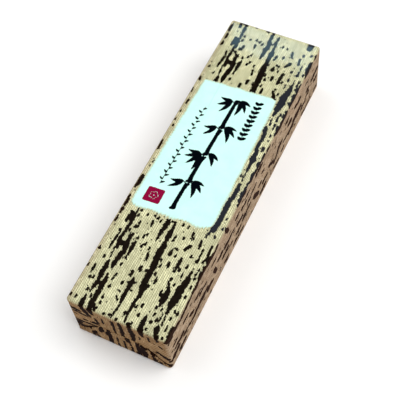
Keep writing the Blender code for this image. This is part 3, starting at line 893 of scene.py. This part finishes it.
def seal_depth(x, y):
    """How deep a point lies in the seal: inside the rounded square, and outside its five-petal blossom."""
    corners = np.array(SEAL_CORNERS)
    inside = []
    for start, end in zip(corners, np.roll(corners, -1, axis=0)):
        ahead = (end - start) / np.linalg.norm(end - start)
        inside.append((y - start[1]) * ahead[0] - (x - start[0]) * ahead[1])
    down, back = np.minimum(inside[0], inside[2]), np.minimum(inside[1], inside[3])
    round_part = np.hypot(np.clip(SEAL_ROUND - down, 0.0, None), np.clip(SEAL_ROUND - back, 0.0, None))
    depth = np.minimum(np.minimum(down, back), SEAL_ROUND - round_part)
    middle = corners.mean(0)
    from_middle = np.hypot(x - middle[0], y - middle[1])
    turn = np.arctan2(y - middle[1], x - middle[0])
    petal_line = BLOSSOM_REACH + PETAL_DEPTH * np.abs(np.cos(PETALS / 2.0 * turn))
    blossom = np.maximum(LINE_HALF_WIDTH - np.abs(from_middle - petal_line), DOT_REACH - from_middle)
    return np.minimum(depth, -blossom)


# How finely the label is stepped: by its edges, from where it is evenly stepped, and the steps there.
BY_EDGE = (0.0, 0.12, 0.3, 0.55, 0.9, 1.3)
EVEN_FROM = 1.7
ACROSS_SPACING = 0.40
DOWN_SPACING = 0.42


def dense_by_edges(length, spacing):
    """Places from 0 to length, close to both ends and evenly spaced between."""
    close = np.array(BY_EDGE)
    even = np.linspace(EVEN_FROM, length - EVEN_FROM, round((length - 2.0 * EVEN_FROM) / spacing))
    return np.concatenate([close, even, length - close[::-1]])


# The longest wave of a torn edge, its depth and the number of waves: first the tear itself, then its tufts.
TEAR_WAVES = ((19.0, 0.30, 9), (2.6, 0.32, 12))


def tear(place, seed):
    """A torn edge's offset: slow waves of 5 to 12 mm, and the short tufts of its fibres."""
    rng = np.random.default_rng(seed)
    offset = 0.0 * place
    for longest, depth, waves in TEAR_WAVES:
        length = longest * rng.uniform(0.4, 1.0, waves)
        phase = rng.uniform(0.0, math.tau, waves)
        swing = np.sin(math.tau * place[..., None] / length + phase).sum(-1)
        offset = offset + depth * swing / math.sqrt(waves)
    return offset


# How much of the tear the two sides have, and the near edge.
SIDE_SWING = 0.6
NEAR_EDGE_SWING = 1.5
# How far each corner is drawn in, as a share of the way to the middle: the far ones, then the near ones.
CORNER_CUTS = ((0.018, 0.028), (0.034, 0.050))
# Powers of the share of the way to an edge, which keep the tear and the corners' rounding close to it.
TEAR_POWER = (12, 24)
CORNER_POWER = (8, 16)
COCKLE_LENGTH = 16.0
COCKLE_DEPTH = 0.035


def label_sheet():
    """The label's upper and lower faces and its rim, as grids with label places, ink and seal depths.

    A place is moved outwards by the torn edge's offset times a power of its share of the way to that edge,
    and near a corner it is drawn in towards the middle. The thickness falls off over the feathered run.
    """
    places_across = dense_by_edges(LABEL_WIDTH, ACROSS_SPACING)
    places_down = dense_by_edges(LABEL_LENGTH, DOWN_SPACING)
    x, y = np.meshgrid(places_across, places_down)
    s, t = 2.0 * x / LABEL_WIDTH - 1.0, 2.0 * y / LABEL_LENGTH - 1.0
    left, right = tear(y, seed=31), tear(y, seed=32)
    far, near = tear(x, seed=33), tear(x, seed=34)
    cut = np.array(CORNER_CUTS)[(t > 0.0).astype(int), (s > 0.0).astype(int)]
    pull = 1.0 - cut * s ** CORNER_POWER[0] * t ** CORNER_POWER[1]
    out_x = np.where(s < 0.0, -left, right) * np.abs(s) ** TEAR_POWER[0] * SIDE_SWING
    out_x = out_x + t * (RIGHT_EDGE_LEAN * np.clip(s, 0.0, 1.0) - LEFT_EDGE_LEAN * np.clip(-s, 0.0, 1.0))
    out_y = np.where(t < 0.0, -far, NEAR_EDGE_SWING * near) * np.abs(t) ** TEAR_POWER[1]
    px = (x - LABEL_WIDTH / 2.0) * pull + out_x
    py = (LABEL_LENGTH / 2.0 - y) * pull - out_y + px * math.tan(LABEL_SLANT)
    wx = LABEL_MIDDLE[0] + px * math.cos(LABEL_TURN) - py * math.sin(LABEL_TURN)
    wy = LABEL_MIDDLE[1] + px * math.sin(LABEL_TURN) + py * math.cos(LABEL_TURN)
    to_edge = np.minimum(np.minimum(x, LABEL_WIDTH - x), np.minimum(y, LABEL_LENGTH - y))
    fade = np.clip(to_edge / FEATHER_RUN, 0.0, 1.0)
    from_crease = (x - CREASE_PLACE - CREASE_LEAN * y) / CREASE_HALF_WIDTH
    crease = CREASE_HEIGHT * np.exp(-(from_crease ** 2)) * np.interp(y, CREASE_SINKS, (1.0, 0.0))
    cockle = (gentle_waves(wx, wy, COCKLE_LENGTH, COCKLE_DEPTH, seed=41) + crease + COCKLE_DEPTH) * fade
    low = PACK_HEIGHT + top_relief(wx, wy) + GLUE_GAP + np.clip(cockle, 0.0, None)
    high = low + EDGE_THICK + LABEL_THICK * np.sin(fade * math.pi / 2.0)
    brushed = bamboo_stem()
    for twig_values in TWIGS:
        brushed += twig(*twig_values)
    ink = stroke_depth(x, y, brushed)
    seal = seal_depth(x, y)
    upper = np.stack([wx, wy, high], -1)
    lower = np.stack([wx, wy, low], -1)
    values = (x, y, ink, seal, fade)
    grids = [(upper, *values), (lower[:, ::-1], *(v[:, ::-1] for v in values))]
    rim = [(slice(None), 0), (-1, slice(None)), (slice(None, None, -1), -1), (0, slice(None, None, -1))]
    for line in rim:
        edge_points = np.stack([upper[line], lower[line]], 1)
        grids.append((edge_points, *(np.stack([v[line]] * 2, 1) for v in values)))
    return grids


# What its mesh carries at each point: the depth in the ink and in the seal, and the share of its thickness.
LABEL_ATTRIBUTES = ("ink_depth", "seal_depth", "thickness_share")


def torn_washi():
    """Unsized mulberry paper, formed by hand, with sumi ink and red seal paste on it.

    It is matt and cloudy, and its long fibres show.
    """
    material, add = empty_material("handmade_mulberry_paper")
    sheet = add("UVMap", {}, uv_map="sheet_mm")
    ink_depth, stamp_depth, full_share = (
        add("Attribute", {}, attribute_name=name).node.outputs["Fac"] for name in LABEL_ATTRIBUTES
    )

    # Long fibres lie in the sheet, mostly lengthwise, and its thickness is cloudy.
    drawn_out = add("Mapping", {"Vector": sheet, "Scale": (1.0, 0.12, 1.0)})
    fibres = add("TexNoise", {0: drawn_out, "Scale": 2.8}, **FLAT)
    fibres = add("MapRange", {0: fibres, 1: 0.5, 2: 0.75, 4: 0.25})
    clouds = add("TexNoise", {0: sheet, "Scale": 0.14}, **FLAT)
    clouds = add("MapRange", {0: clouds, 1: 0.3, 2: 0.7, 3: 0.93, 4: 1.0})
    colour = add("Mix", {0: fibres, 1: linear(PAPER_MINT), 2: linear(FIBRE_MINT)}, **RGBA)
    colour = add("HueSaturation", {"Value": clouds, "Color": colour})

    # A faint crease runs down from the far edge, beside the left twig. Its shade is painted on as a darker
    # line.
    from_left = add("SeparateXYZ", {0: sheet})
    from_far = from_left.node.outputs["Y"]
    line = add("Math", {0: from_far, 1: -CREASE_LEAN, 2: from_left}, operation="MULTIPLY_ADD")
    line = add("Math", {0: line, 1: CREASE_PLACE}, operation="SUBTRACT")
    line = add("Math", {0: line}, operation="ABSOLUTE")
    line = add("MapRange", {0: line, 1: 0.1, 2: CREASE_HALF_WIDTH, 3: 0.35, 4: 0.0})
    crease = add("MapRange", {0: from_far, 1: SHADE_FADES[0], 2: SHADE_FADES[1], 3: 1.0, 4: 0.0})
    crease = add("Math", {0: line, 1: crease}, operation="MULTIPLY")
    colour = add("Mix", {0: crease, 1: colour, 2: linear(CREASE_SHADE_MINT)}, **RGBA)

    # The torn edge is a few fibres thick, and the sheath print under it shows through.
    tufts = add("TexNoise", {0: sheet, "Scale": 1.1}, **FLAT)
    tufts = add("MapRange", {0: tufts, 3: -0.3, 4: 0.3}, clamp=False)
    thickness = add("Math", {0: full_share, 1: tufts}, operation="ADD")
    thin = add("MapRange", {0: thickness, 1: 0.0, 2: 0.55, 3: 0.85, 4: 0.0})
    colour = add("Mix", {0: thin, 1: colour, 2: linear(SHOWN_THROUGH)}, **RGBA)

    # The seal's paste is uneven, and has missed some of the paper.
    patchy = add("TexNoise", {0: sheet, "Scale": 1.7, "Detail": 3.0}, **FLAT)
    missed = add("MapRange", {0: patchy, 3: -0.25, 4: 0.25}, clamp=False)
    stamped = add("Math", {0: stamp_depth, 1: missed}, operation="ADD")
    stamped = add("MapRange", {0: stamped, 1: -0.05, 2: 0.12})
    paste = add("MapRange", {0: patchy, 1: 0.4, 2: 0.7})
    paste = add("Mix", {0: paste, 1: linear(SEAL_RED), 2: linear(SEAL_THIN_RED)}, **RGBA)
    colour = add("Mix", {0: stamped, 1: colour, 2: paste}, **RGBA)

    # The ink has run a little along the fibres.
    bleed = add("TexNoise", {0: sheet, "Scale": 1.4}, **FLAT)
    bleed = add("MapRange", {0: bleed, 3: -0.25, 4: 0.25}, clamp=False)
    inked = add("Math", {0: ink_depth, 1: bleed}, operation="ADD")
    inked = add("MapRange", {0: inked, 1: -0.06, 2: 0.1})
    colour = add("Mix", {0: inked, 1: colour, 2: linear(SUMI_BLACK)}, **RGBA)

    bump = add("Bump", {"Height": fibres, "Distance": 0.00008, "Strength": 0.6})
    surface = add("BsdfPrincipled", {
        "Base Color": colour, "Roughness": 0.92, "Specular IOR Level": 0.0, "Normal": bump,
    })
    add("OutputMaterial", {"Surface": surface})
    return material


label = build_surface("washi_label", label_sheet(), torn_washi(), LABEL_ATTRIBUTES)
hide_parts("torn_label")
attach(label, "root")
